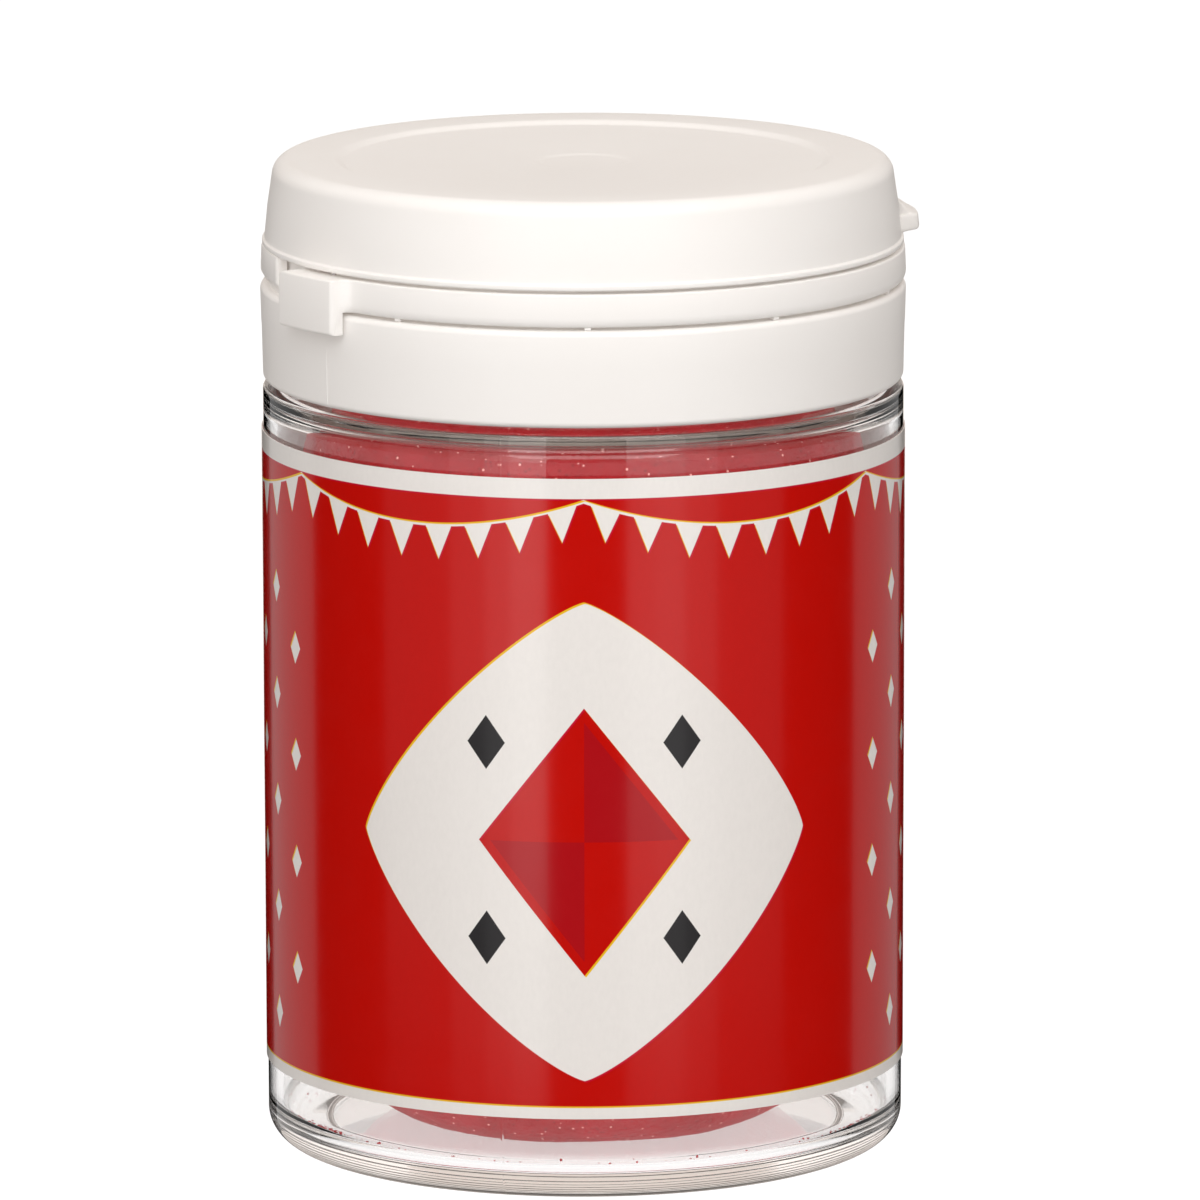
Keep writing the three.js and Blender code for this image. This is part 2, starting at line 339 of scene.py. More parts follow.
class Shader:
    """A material whose nodes are added and joined by short calls."""

    def __init__(self, name):
        self.material = bpy.data.materials.new(name)
        self.material.use_nodes = True
        self.tree = self.material.node_tree
        self.tree.nodes.clear()
        self.output = self.node("ShaderNodeOutputMaterial")
        self.surface = self.node("ShaderNodeBsdfPrincipled")
        self.feed(self.output.inputs["Surface"], self.surface.outputs["BSDF"])

    def node(self, kind, **settings):
        made = self.tree.nodes.new(kind)
        for name, value in settings.items():
            setattr(made, name, value)
        return made

    def feed(self, socket, value):
        """Joins an output to a socket, or sets the socket's own value."""
        if isinstance(value, bpy.types.NodeSocket):
            self.tree.links.new(value, socket)
        else:
            socket.default_value = value

    def set(self, **values):
        """Sets the surface's sockets; an underscore in a name stands for a blank."""
        for name, value in values.items():
            self.feed(self.surface.inputs[name.replace("_", " ")], value)

    def maths(self, operation, *values):
        made = self.node("ShaderNodeMath", operation=operation)
        for socket, value in zip(made.inputs, values):
            self.feed(socket, value)
        return made.outputs[0]

    def mix(self, share, first, second, blend="MIX"):
        made = self.node("ShaderNodeMix", data_type="RGBA", blend_type=blend)
        for name, value in (("Factor_Float", share), ("A_Color", first), ("B_Color", second)):
            socket = next(s for s in made.inputs if s.identifier == name)
            self.feed(socket, value)
        return next(s for s in made.outputs if s.identifier == "Result_Color")

    def position(self):
        return self.node("ShaderNodeTexCoord").outputs["Object"]

    def axes(self):
        made = self.node("ShaderNodeSeparateXYZ")
        self.feed(made.inputs[0], self.position())
        return made.outputs

    def noise(self, size, detail=3.0, roughness=0.55, stretch=(1.0, 1.0, 1.0)):
        """A noise whose grains are about size millimetres."""
        mapping = self.node("ShaderNodeMapping")
        self.feed(mapping.inputs["Vector"], self.position())
        mapping.inputs["Scale"].default_value = stretch
        made = self.node("ShaderNodeTexNoise")
        self.feed(made.inputs["Vector"], mapping.outputs[0])
        made.inputs["Scale"].default_value = 1.0 / (size * MM)
        made.inputs["Detail"].default_value = detail
        made.inputs["Roughness"].default_value = roughness
        return made.outputs["Fac"]

    def cells(self, size, feature="F1"):
        made = self.node("ShaderNodeTexVoronoi", feature=feature)
        self.feed(made.inputs["Vector"], self.position())
        made.inputs["Scale"].default_value = 1.0 / (size * MM)
        return made.outputs["Distance"]

    def ramp(self, value, *stops):
        """A colour ramp through (position, colour) stops."""
        made = self.node("ShaderNodeValToRGB")
        self.feed(made.inputs[0], value)
        elements = made.color_ramp.elements
        while len(elements) < len(stops):
            elements.new(0.5)
        for element, (at, colour) in zip(elements, stops):
            element.position = at
            element.color = colour
        return made.outputs[0]

    def bump(self, height, depth, strength=1.0):
        """A relief of depth millimetres."""
        made = self.node("ShaderNodeBump")
        made.inputs["Strength"].default_value = strength
        made.inputs["Distance"].default_value = depth * MM
        self.feed(made.inputs["Height"], height)
        self.feed(self.surface.inputs["Normal"], made.outputs[0])

    def pass_light(self, share):
        """Lets a share of each lamp's light through, so that what lies behind is lit."""
        self.let_through(self.node("ShaderNodeLightPath").outputs["Is Shadow Ray"], share)

    def let_through(self, when, share):
        passing = self.node("ShaderNodeBsdfTransparent")
        passing.inputs["Color"].default_value = share
        either = self.node("ShaderNodeMixShader")
        self.feed(either.inputs[0], when)
        self.feed(either.inputs[1], self.surface.outputs["BSDF"])
        self.feed(either.inputs[2], passing.outputs[0])
        self.feed(self.output.inputs["Surface"], either.outputs[0])


# Jar

def clear_plastic():
    shader = Shader("jar_plastic")
    shader.set(
        Base_Color=(0.985, 0.98, 0.975, 1.0), Roughness=0.02, IOR=1.55, Transmission_Weight=1.0,
    )
    shader.bump(shader.noise(6.0, detail=2.0, stretch=(1.0, 1.0, 0.35)), 0.02, 0.35)
    shader.pass_light((0.93, 0.93, 0.92, 1.0))
    return shader.material


def make_jar():
    """The jar from the middle of its foot, up the outside, over the lip and down the inside."""
    foot_radius = JAR_RADIUS - JAR_TAPER
    neck_radius = COLLAR_BORE - NECK_PLAY
    neck_bore = neck_radius - NECK_WALL
    floor_top = FOOT_RECESS + FLOOR_THICKNESS
    foot_inner = foot_radius - HEEL_RADIUS - FOOT_WIDTH
    shoulder_under = SHOULDER - SHOULDER_THICKNESS
    bead_foot = SHOULDER + BEAD_HEIGHT
    inner_radius = JAR_RADIUS - JAR_WALL
    inner_foot = foot_radius - JAR_WALL
    under_slope = (inner_radius - neck_bore) / 2
    foot = [
        (0.0, FOOT_RECESS),
        (foot_inner - FOOT_STEP, FOOT_RECESS),
        *arc(foot_inner - FOOT_STEP / 2, FOOT_RECESS - FOOT_EDGE, FOOT_EDGE, 90, 20, 3),
        *arc(foot_inner, FOOT_EDGE, FOOT_EDGE, 200, 270, 3),
    ]
    heel = arc(foot_radius - HEEL_RADIUS, HEEL_RADIUS, HEEL_RADIUS, -90, 0, 28)
    wall_height = SHOULDER - HEEL_RADIUS
    shares = (0.2, 0.4, 0.6, 0.8)
    outer_wall = [(foot_radius + JAR_TAPER * s, HEEL_RADIUS + wall_height * s) for s in shares]
    seam_points = range(len(foot) + 4, len(foot) + len(heel) + len(outer_wall))
    profile = [
        *foot,
        *heel,
        *outer_wall,
        *arc(JAR_RADIUS - SHOULDER_EDGE, SHOULDER - SHOULDER_EDGE, SHOULDER_EDGE, 0, 90, 6),
        *arc(neck_radius + NECK_FILLET, SHOULDER + NECK_FILLET, NECK_FILLET, 270, 180, 4),
        (neck_radius, bead_foot),
        *arc(neck_radius, bead_foot + BEAD_REACH, BEAD_REACH, -80, 20, 5),
        (neck_radius, bead_foot + BEAD_LENGTH),
        *arc(neck_radius - LIP_EDGE, NECK_TOP - LIP_EDGE, LIP_EDGE, 0, 90, 4),
        *arc(neck_bore + LIP_EDGE, NECK_TOP - LIP_EDGE, LIP_EDGE, 90, 180, 4),
        *arc(neck_bore + NECK_EDGE, shoulder_under + NECK_EDGE, NECK_EDGE, 180, 225, 3),
        *arc(inner_radius - SHOULDER_FILLET, shoulder_under - under_slope, SHOULDER_FILLET, 50, 0, 8),
        *arc(inner_foot - INNER_HEEL_RADIUS, floor_top + INNER_HEEL_RADIUS, INNER_HEEL_RADIUS, 0, -90, 18),
        (0.0, floor_top),
    ]

    def section(azimuth):
        off = abs(around(JAR_RADIUS, spread(azimuth, JAR_SEAM)))
        proud = JAR_SEAM_PROUD * clamp(1.0 - off / (JAR_SEAM_WIDTH / 2))
        return [(r + proud if i in seam_points else r, z) for i, (r, z) in enumerate(profile)]

    jar = lofted("jar_glass", columns((JAR_SEAM, 1.0, 16)), section, loop=False, sharp=60.0)
    return dress(jar, clear_plastic(), "jar_body", "clear_plastic", "jar")


# Label, with a harlequin print made for this part

RED_INK = (0.64, 0.006, 0.036, 1.0)
YELLOW_INK = (1.0, 0.62, 0.02, 1.0)
FACET_INK = (0.35, 0.004, 0.012, 1.0)
BLACK_INK = (0.012, 0.010, 0.011, 1.0)
PAPER = (0.89, 0.86, 0.83, 1.0)
PAPER_GRAIN = 0.93
PLATE_SLIP = (0.11, 0.12)
MEDALLION_HEIGHT = 28.2
MEDALLION_HALF_WIDTH = 18.4
MEDALLION_HALF_HEIGHT = 18.6
MEDALLION_FULLNESS = 1.25
HEART_HALF_WIDTH = 8.2
HEART_HALF_HEIGHT = 10.4
FACET_INSET = (0.9, 1.1)
SPOT_OFFSET = 7.6
SPOT_HALF_WIDTH = 1.5
SPOT_HALF_HEIGHT = 2.1
LATTICE_WIDTH = 2 * math.pi * LABEL_RADIUS / 20
LATTICE_START = 3.25 * LATTICE_WIDTH
LATTICE_HEIGHT = 8.4
LATTICE_REACH = 2.2 * LATTICE_HEIGHT
DIAMOND_HALF_WIDTH = 0.85
DIAMOND_HALF_HEIGHT = 1.3
SWAG_COUNT = 6
SWAG_HANG = 0.2
SWAG_DROP = 2.2
SWAG_LINE = 0.14
PENNANTS = 8
PENNANT_HALF_WIDTH = 1.15
PENNANT_LENGTH = 2.7
PRINT_EDGE = 0.05
# How much of a lamp's light the label film and the cap let through
FILM_LIGHT = (0.93, 0.87, 0.86, 1.0)
CAP_LIGHT = (0.74, 0.71, 0.69, 1.0)


class Plate:
    """The areas of the print, as 0 to 1 values over (along, up) on the label in millimetres."""

    def __init__(self, shader, along, up):
        self.shader = shader
        self.along = along
        self.up = up

    def m(self, operation, *values):
        return self.shader.maths(operation, *values)

    def inside(self, distance):
        """1 where a distance in millimetres is below 0."""
        return self.m("MULTIPLY_ADD", distance, -1.0 / PRINT_EDGE, 0.5)

    def trim(self, value):
        return self.m("MINIMUM", self.m("MAXIMUM", value, 0.0), 1.0)

    def lozenge(self, across, rise, half_width, half_height, fullness=1.0):
        wide = self.m("POWER", self.m("DIVIDE", self.m("ABSOLUTE", across), half_width), fullness)
        tall = self.m("POWER", self.m("DIVIDE", self.m("ABSOLUTE", rise), half_height), fullness)
        size = min(half_width, half_height) / fullness
        distance = self.m("MULTIPLY", self.m("SUBTRACT", self.m("ADD", wide, tall), 1.0), size)
        return self.trim(self.inside(distance))

    def band(self, value, half):
        return self.trim(self.inside(self.m("SUBTRACT", self.m("ABSOLUTE", value), half)))

    def wrap(self, value, period):
        return self.m("WRAP", value, period / 2, -period / 2)

    def borders(self):
        top = self.inside(self.m("SUBTRACT", LABEL_TOP - TOP_BORDER, self.up))
        low = self.inside(self.m("SUBTRACT", self.up, LABEL_FOOT + LOW_BORDER))
        return self.trim(self.m("MAXIMUM", top, low))

    def medallion(self):
        rise = self.m("SUBTRACT", self.up, MEDALLION_HEIGHT)
        outer = self.lozenge(
            self.along, rise, MEDALLION_HALF_WIDTH, MEDALLION_HALF_HEIGHT, MEDALLION_FULLNESS
        )
        heart = self.lozenge(self.along, rise, HEART_HALF_WIDTH, HEART_HALF_HEIGHT)
        return self.m("SUBTRACT", outer, heart)

    def lattice(self):
        found = None
        for shift in (0.0, 0.5):
            across = self.wrap(self.m("ADD", self.along, LATTICE_WIDTH * shift), LATTICE_WIDTH)
            rise = self.m("SUBTRACT", self.up, MEDALLION_HEIGHT + LATTICE_HEIGHT * shift)
            diamonds = self.lozenge(
                across, self.wrap(rise, LATTICE_HEIGHT), DIAMOND_HALF_WIDTH, DIAMOND_HALF_HEIGHT
            )
            found = diamonds if found is None else self.m("MAXIMUM", found, diamonds)
        beside = self.m("GREATER_THAN", self.m("ABSOLUTE", self.along), LATTICE_START)
        rise = self.m("ABSOLUTE", self.m("SUBTRACT", self.up, MEDALLION_HEIGHT))
        level = self.m("LESS_THAN", rise, LATTICE_REACH)
        return self.m("MULTIPLY", found, self.m("MULTIPLY", beside, level))

    def swags(self):
        period = 2 * math.pi * LABEL_RADIUS / SWAG_COUNT
        across = self.wrap(self.m("ADD", self.along, period / 2), period)
        share = self.m("DIVIDE", across, period / 2)
        sag = self.m("SUBTRACT", 1.0, self.m("MULTIPLY", share, share))
        hang = LABEL_TOP - TOP_BORDER - SWAG_HANG
        line = self.m("SUBTRACT", hang, self.m("MULTIPLY", sag, SWAG_DROP))
        below = self.m("SUBTRACT", line, self.up)
        string = self.band(below, SWAG_LINE)
        pitch = period / PENNANTS
        local = self.m("ABSOLUTE", self.wrap(self.m("ADD", across, pitch / 2), pitch))
        narrow = self.m("MULTIPLY_ADD", below, PENNANT_HALF_WIDTH / PENNANT_LENGTH, -PENNANT_HALF_WIDTH)
        pennant = self.trim(self.inside(self.m("ADD", local, narrow)))
        hanging = self.m("MULTIPLY", pennant, self.m("GREATER_THAN", below, 0.0))
        return self.m("MAXIMUM", string, hanging)

    def bare(self):
        """Where the white stays free of ink."""
        areas = (self.borders(), self.medallion(), self.lattice(), self.swags())
        found = areas[0]
        for area in areas[1:]:
            found = self.m("MAXIMUM", found, area)
        return found

    def spots(self):
        """Four black lozenges, one off each side of the heart."""
        rise = self.m("SUBTRACT", self.up, MEDALLION_HEIGHT)
        across = self.m("SUBTRACT", self.m("ABSOLUTE", self.along), SPOT_OFFSET)
        beside = self.m("SUBTRACT", self.m("ABSOLUTE", rise), SPOT_OFFSET)
        return self.lozenge(across, beside, SPOT_HALF_WIDTH, SPOT_HALF_HEIGHT)

    def facets(self):
        """The dark quarters of the heart."""
        rise = self.m("SUBTRACT", self.up, MEDALLION_HEIGHT)
        inset_along, inset_up = FACET_INSET
        heart = self.lozenge(
            self.along, rise, HEART_HALF_WIDTH - inset_along, HEART_HALF_HEIGHT - inset_up
        )
        side = self.m("MULTIPLY", self.along, rise)
        return self.m("MULTIPLY", heart, self.m("GREATER_THAN", side, 0.0))


def label_film():
    shader = Shader("label_film")
    x, y, z = shader.axes()
    off_axis = shader.maths("SUBTRACT", x, AXIS_X * MM)
    turn = shader.maths("ARCTAN2", off_axis, shader.maths("MULTIPLY", y, -1.0))
    along = shader.maths("MULTIPLY", turn, LABEL_RADIUS)
    up = shader.maths("MULTIPLY", z, 1.0 / MM)
    plate = Plate(shader, along, up)
    slip_along, slip_up = PLATE_SLIP
    slipped = Plate(
        shader, shader.maths("SUBTRACT", along, slip_along), shader.maths("ADD", up, slip_up)
    )
    grain = shader.noise(0.35, detail=4.0, stretch=(1.0, 1.0, 0.5))
    paper = shader.mix(grain, PAPER, tuple(c * PAPER_GRAIN for c in PAPER[:3]) + (1.0,))
    red = shader.mix(shader.maths("SUBTRACT", 1.0, plate.bare()), paper, RED_INK, "MULTIPLY")
    full = shader.mix(shader.maths("SUBTRACT", 1.0, slipped.bare()), red, YELLOW_INK, "MULTIPLY")
    toned = shader.mix(shader.maths("MULTIPLY", plate.facets(), 0.6), full, FACET_INK)
    colour = shader.mix(plate.spots(), toned, BLACK_INK)
    rough = shader.maths("MULTIPLY_ADD", shader.noise(2.5), 0.08, 0.12)
    shader.set(Base_Color=colour, Roughness=rough, IOR=1.5, Coat_Weight=0.15, Coat_Roughness=0.08)
    shader.bump(shader.noise(0.25, detail=2.0), 0.002, 0.5)
    shader.pass_light(FILM_LIGHT)
    return shader.material


def label_back():
    shader = Shader("label_back")
    shade = shader.mix(shader.noise(0.6), (0.80, 0.785, 0.76, 1.0), (0.72, 0.70, 0.68, 1.0))
    shader.set(Base_Color=shade, Roughness=0.55, IOR=1.45)
    shader.pass_light(FILM_LIGHT)
    return shader.material


def make_label():
    """One film wrapped round the jar, whose outer end laps over the inner end."""
    inner_end = LABEL_SEAM
    outer_end = LABEL_SEAM + 360.0 + LABEL_OVERLAP
    height = LABEL_TOP - LABEL_FOOT

    def section(azimuth):
        turned = azimuth - inner_end
        lap = clamp((turned - 360.0 + LABEL_LAP_RUN) / LABEL_LAP_RUN)
        base = LABEL_RADIUS - LABEL_FILM - 0.005 + lap * (LABEL_FILM + 0.01)
        outer, inner = [], []
        for i in range(LABEL_ROWS + 1):
            z = LABEL_FOOT + height * i / LABEL_ROWS
            spot = Vector((math.sin(math.radians(azimuth)), math.cos(math.radians(azimuth)), z / 30.0))
            wave = LABEL_WAVE * noise.noise(spot * 2.3) - LABEL_WAVE
            taper = JAR_TAPER * (1.0 - z / SHOULDER)
            outer.append((base + LABEL_FILM + wave - taper, z))
            inner.append((base + wave - taper, z))
        return outer + inner[::-1]

    turn = (outer_end - inner_end) / LABEL_STEPS
    azimuths = [inner_end + turn * i for i in range(LABEL_STEPS + 1)]
    label = lofted("label_print", azimuths, section, ring=False)
    dress(label, label_film(), "jar_body", "printed_film", "label")
    label.data.materials.append(label_back())
    for face in label.data.polygons:
        outwards = face.center - Vector((AXIS_X * MM, 0.0, face.center.z))
        if face.normal.dot(outwards) < 0.0:
            face.material_index = 1
    return label


# Cap

CAP_WHITE = (0.94, 0.925, 0.905, 1.0)
CAP_CREAM = (0.925, 0.905, 0.88, 1.0)


def cap_plastic():
    shader = Shader("cap_plastic")
    mottle = shader.noise(7.0, detail=2.0)
    tint = shader.mix(mottle, CAP_WHITE, CAP_CREAM)
    rough = shader.maths("MULTIPLY_ADD", shader.noise(0.8, detail=3.0), 0.10, 0.36)
    shader.set(Base_Color=tint, Roughness=rough, IOR=1.5)
    shader.bump(shader.noise(0.12, detail=2.0), 0.003, 0.6)
    shader.pass_light(CAP_LIGHT)
    return shader.material


def make_cap_ring(plastic):
    foot_radius = RING_RADIUS - RING_TAPER
    skirt_bore = RING_RADIUS - RING_WALL
    shelf = RING_TOP - RING_SHELF
    hook_top = SHOULDER + BEAD_HEIGHT - CAP_GAP
    notch_half = NOTCH_WIDTH / 2

    def section(azimuth):
        off = notch_half - abs(around(COLLAR_RADIUS, spread(azimuth, NOTCH_MIDDLE)))
        top = COLLAR_TOP - NOTCH_DEPTH * clamp(off / DETAIL_STEP + 0.5)
        outside = [
            *arc(foot_radius - RING_EDGE, RING_FOOT + RING_EDGE, RING_EDGE, -90, 0, 6),
            (foot_radius + RING_TAPER * 0.45, RING_SEAM_TOP - 0.3),
            (foot_radius + RING_TAPER * 0.6, RING_SEAM_TOP),
            *arc(RING_RADIUS - RING_EDGE, RING_TOP - RING_EDGE, RING_EDGE, 0, 90, 6),
        ]
        seam = abs(around(RING_RADIUS, spread(azimuth, RING_SEAM)))
        proud = RING_SEAM_PROUD * clamp(1.0 - seam / (RING_SEAM_WIDTH / 2))
        raised = [(r + (proud if 2 <= i <= 7 else 0.0), z) for i, (r, z) in enumerate(outside)]
        return raised + [
            *arc(COLLAR_RADIUS + 0.2, RING_TOP + 0.2, 0.2, 270, 180, 3),
            *arc(COLLAR_RADIUS - COLLAR_EDGE, top - COLLAR_EDGE, COLLAR_EDGE, 0, 90, 3),
            *arc(COLLAR_BORE + COLLAR_EDGE, top - COLLAR_EDGE, COLLAR_EDGE, 90, 180, 3),
            (COLLAR_BORE, shelf),
            (skirt_bore, shelf),
            (skirt_bore, hook_top),
            *arc(HOOK_BORE + 0.2, hook_top - HOOK_LIP, 0.2, 100, 230, 5),
            (skirt_bore, RING_FOOT + 0.9),
            (skirt_bore, RING_FOOT + 0.15),
        ]

    notch_span = math.degrees(NOTCH_WIDTH / COLLAR_RADIUS)
    edge = math.degrees(DETAIL_STEP / COLLAR_RADIUS)
    azimuths = columns(
        (NOTCH_MIDDLE - notch_span / 2, edge, 1), (NOTCH_MIDDLE + notch_span / 2, edge, 1),
        (RING_SEAM, 0.8, 12),
    )
    ring = lofted("cap_ring_shell", azimuths, section)
    return dress(ring, plastic, "jar_body", "white_plastic", "cap_ring")


def make_tear_band(plastic):
    """The band from the pull tab's free end, round the front, to its other end by the hinge."""
    last = BAND_END + 360.0
    nibs = [NIB_FIRST + i * (last - NIB_FIRST) / (NIB_COUNT + 0.5) for i in range(NIB_COUNT + 1)]

    def section(azimuth):
        beyond_tab = around(RING_RADIUS, azimuth - TAB_END)
        from_start = around(RING_RADIUS, azimuth - TAB_START)
        from_end = around(RING_RADIUS, last - azimuth)
        on_tab = beyond_tab < 0.0
        start = rounding(from_start, TAB_EDGE)
        end = rounding(from_end, TAB_EDGE)
        if on_tab:
            outer = RING_RADIUS + TAB_REACH - rounding(-beyond_tab, TAB_EDGE) - start
            foot = TAB_FOOT + start
            top = BAND_TOP - rounding(from_start, TAB_CORNER)
            bore = TAB_BORE + start
            soft, tall = TAB_EDGE, TAB_EDGE
        else:
            outer = RING_RADIUS + rounding(beyond_tab, TAB_FILLET) - end
            foot = BAND_FOOT + end
            top = BAND_TOP - end
            bore = min(TAB_BORE, outer - BAND_EDGE_DEPTH - 0.02)
            soft, tall = BAND_EDGE_DEPTH, BAND_EDGE_HEIGHT
        under = BAND_FOOT + (start if on_tab else end)
        nib = any(abs(around(RING_RADIUS, azimuth - n)) < NIB_WIDTH / 2 for n in nibs)
        lowered = under - (NIB_DROP if nib else 0.0)
        return [
            (bore, foot),
            *arc(outer - soft, foot + tall, soft, -90, 0, 6, tall),
            *arc(outer - BAND_LEAN - BAND_TOP_EDGE, top - BAND_TOP_EDGE, BAND_TOP_EDGE, 0, 90, 3),
            *arc(BAND_BORE + 0.1, top - 0.1, 0.1, 90, 180, 2),
            (BAND_BORE, lowered),
            (BAND_BORE + 0.55, lowered),
            (BAND_BORE + 0.57, under),
            (bore - 0.02, under),
        ]

    degrees = math.degrees(1.0 / RING_RADIUS)
    around_tab = [TAB_START + degrees * TAB_CORNER * i / 10 for i in range(11)]
    around_tab += [TAB_END - degrees * TAB_EDGE * i / 5 for i in range(1, 6)]
    around_tab += [TAB_END - 0.01, TAB_END + 0.01]
    around_tab += [TAB_END + degrees * TAB_FILLET * i / 8 for i in range(1, 9)]
    ends = [last - degrees * TAB_EDGE * i / 5 for i in range(6)]
    half_nib = degrees * NIB_WIDTH / 2
    beside = [side * half_nib + slip for side in (-1, 1) for slip in (-0.01, 0.01)]
    steps = [nib + offset for nib in nibs for offset in beside]
    even = [TAB_START + (last - TAB_START) * i / 220 for i in range(221)]
    azimuths = sorted({round(a, 4) for a in around_tab + ends + steps + even if TAB_START <= a <= last})
    band = lofted("tear_band_strip", azimuths, section, ring=False)
    return dress(band, plastic, "jar_body", "white_plastic", "tear_band")


def make_lid(plastic):
    """The lid from the middle of its underside, over the plug and skirt, to the middle of its top."""
    lean = math.degrees(math.atan((LID_RADIUS - LID_TOP_RADIUS) / (LID_TOP - LID_FOOT)))
    plate_under = LID_TOP - DISH_DEPTH - LID_PLATE
    plug_foot = NECK_TOP - PLUG_DEPTH
    thumb_top = THUMB_FOOT + THUMB_THICKNESS
    lip_top = LID_FOOT + LID_LIP_HEIGHT
    half_hinge = HINGE_WIDTH / 2

    dish = []
    for i in range(9):
        share = i / 8
        ease = share * share * (3 - 2 * share)
        dish.append((DISH_RADIUS + DISH_SLOPE * (0.5 - share), LID_TOP - DISH_DEPTH * ease))
    floor = LID_TOP - DISH_DEPTH
    for i in range(5):
        share = i / 4
        ease = share * share * (3 - 2 * share)
        dish.append((GATE_RADIUS + 0.8 * (0.5 - share), floor - GATE_DEPTH * ease))
    dish.append((0.0, floor - GATE_DEPTH))

    def skirt(z):
        return LID_RADIUS - (LID_RADIUS - LID_TOP_RADIUS) * (z - LID_FOOT) / (LID_TOP - LID_FOOT)

    def thumb_reach(azimuth):
        off = abs(around(LID_RADIUS, spread(azimuth, THUMB_MIDDLE)))
        slope = (THUMB_ROOT / 2 - off) / (THUMB_ROOT / 2 - THUMB_TIP / 2) * THUMB_REACH
        tip = THUMB_REACH - THUMB_BOW * clamp(off / (THUMB_TIP / 2)) ** 2
        soft = 0.25
        blend = clamp(0.5 + 0.5 * (tip - slope) / soft)
        joined = tip + (slope - tip) * blend - soft * blend * (1.0 - blend)
        return max(0.0, joined)

    def section(azimuth):
        reach = thumb_reach(azimuth)
        ledge = []
        for z, angle in (
            [(THUMB_FOOT + THUMB_EDGE * (1 - math.cos(t)), t) for t in (0.0, 0.4, 0.8, 1.2, 1.57)]
            + [(thumb_top - THUMB_EDGE * (1 - math.cos(t)), t) for t in (1.57, 1.2, 0.8, 0.4, 0.0)]
        ):
            back = THUMB_EDGE * (1 - math.sin(angle))
            ledge.append((skirt(z) + max(0.0, reach - back), z))
        off = half_hinge - abs(around(RING_RADIUS, spread(azimuth, HINGE_MIDDLE)))
        on_hinge = clamp(off / DETAIL_STEP + 0.5)
        drawn = rounding(max(0.0, off), HINGE_EDGE)
        outer = HINGE_RADIUS - drawn
        foot = HINGE_FOOT + drawn
        block = [
            (LID_BORE, foot),
            (LID_BORE + 0.15, foot),
            (outer - 0.12, foot + outer - LID_BORE - 0.3),
            (outer, foot + outer - LID_BORE),
            (outer, LID_FOOT - 0.35),
            (outer - 0.08, LID_FOOT - 0.05),
        ]
        plain = [(LID_BORE + 0.12 * i, LID_FOOT) for i in range(len(block))]
        hanging = [
            (p[0] + (b[0] - p[0]) * on_hinge, p[1] + (b[1] - p[1]) * on_hinge)
            for p, b in zip(plain, block)
        ]
        return [
            (0.0, plate_under),
            (PLUG_BORE - 0.5, plate_under),
            *arc(PLUG_BORE - 0.3, plate_under - 0.3, 0.3, 90, 0, 3),
            *arc(PLUG_BORE + PLUG_EDGE, plug_foot + PLUG_EDGE, PLUG_EDGE, 180, 270, 4),
            *arc(PLUG_FOOT_RADIUS - PLUG_EDGE, plug_foot + PLUG_EDGE, PLUG_EDGE, 270, 345, 4),
            (PLUG_RADIUS, NECK_TOP + CAP_GAP),
            (PLUG_RADIUS, plate_under - 0.3),
            (PLUG_RADIUS + 0.3, plate_under),
            (LID_TOP_RADIUS - LID_WALL - 0.5, plate_under),
            (LID_TOP_RADIUS - LID_WALL, plate_under - 0.5),
            (LID_BORE, COLLAR_TOP + CAP_GAP),
            (LID_BORE, LID_FOOT + 0.1),
            *hanging,
            *arc(LID_RADIUS, LID_FOOT + LID_LIP, LID_LIP, -80, 0, 4),
            *arc(LID_RADIUS, lip_top - LID_LIP, LID_LIP, 0, 80, 4),
            *ledge,
            (skirt(thumb_top + 1.0), thumb_top + 1.0),
            *arc(LID_TOP_RADIUS - LID_CORNER, LID_TOP - LID_CORNER, LID_CORNER, lean, 90, 12),
            *dish,
        ]

    hinge_span = math.degrees(HINGE_WIDTH / RING_RADIUS)
    edge = math.degrees(DETAIL_STEP / RING_RADIUS)
    rounded = math.degrees(HINGE_EDGE / RING_RADIUS)
    sides = [HINGE_MIDDLE - hinge_span / 2, HINGE_MIDDLE + hinge_span / 2]
    azimuths = columns(
        *[(side, edge, 2) for side in sides],
        (sides[0] + rounded / 2, rounded, 5), (sides[1] - rounded / 2, rounded, 5),
        (THUMB_MIDDLE, 24.0, 96),
    )
    lid = lofted("lid_shell", azimuths, section, loop=False)
    return dress(lid, plastic, "lid_body", "white_plastic", "lid")


def make_film_hinge(plastic):
    """The thin web that joins the ring to the lid's hinge block."""
    half = math.degrees(FILM_WIDTH / 2 / FILM_RADIUS)
    low = RING_TOP - FILM_SEAT
    high = HINGE_FOOT + FILM_SEAT
    rows = 12

    def section(azimuth):
        heights = [low + (high - low) * i / rows for i in range(rows + 1)]
        waist = [FILM_WAIST * math.sin(math.pi * i / rows) for i in range(rows + 1)]
        outer = [(FILM_RADIUS + FILM_THICKNESS / 2 - w, z) for w, z in zip(waist, heights)]
        inner = [(FILM_RADIUS - FILM_THICKNESS / 2 + w, z) for w, z in zip(waist, heights)]
        return outer + inner[::-1]

    azimuths = [HINGE_MIDDLE + half * (i / 12 - 1) for i in range(25)]
    film = lofted("film_hinge", azimuths, section, ring=False, sharp=50.0)
    film.data.materials.append(plastic)
    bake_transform(film)
    return film


# Foam nose and what has crumbled off it

FOAM_DEEP = (0.42, 0.005, 0.010, 1.0)
FOAM_BRIGHT = (0.53, 0.009, 0.018, 1.0)
# Colour multiplied into the pits of the foam's cells: painted shade in the pores.
FOAM_PORE_SHADE = (0.5, 0.42, 0.42, 1.0)
# Colour of pale specks in the foam: painted glints.
FOAM_PAINTED_GLINT = (1.0, 0.50, 0.46, 1.0)
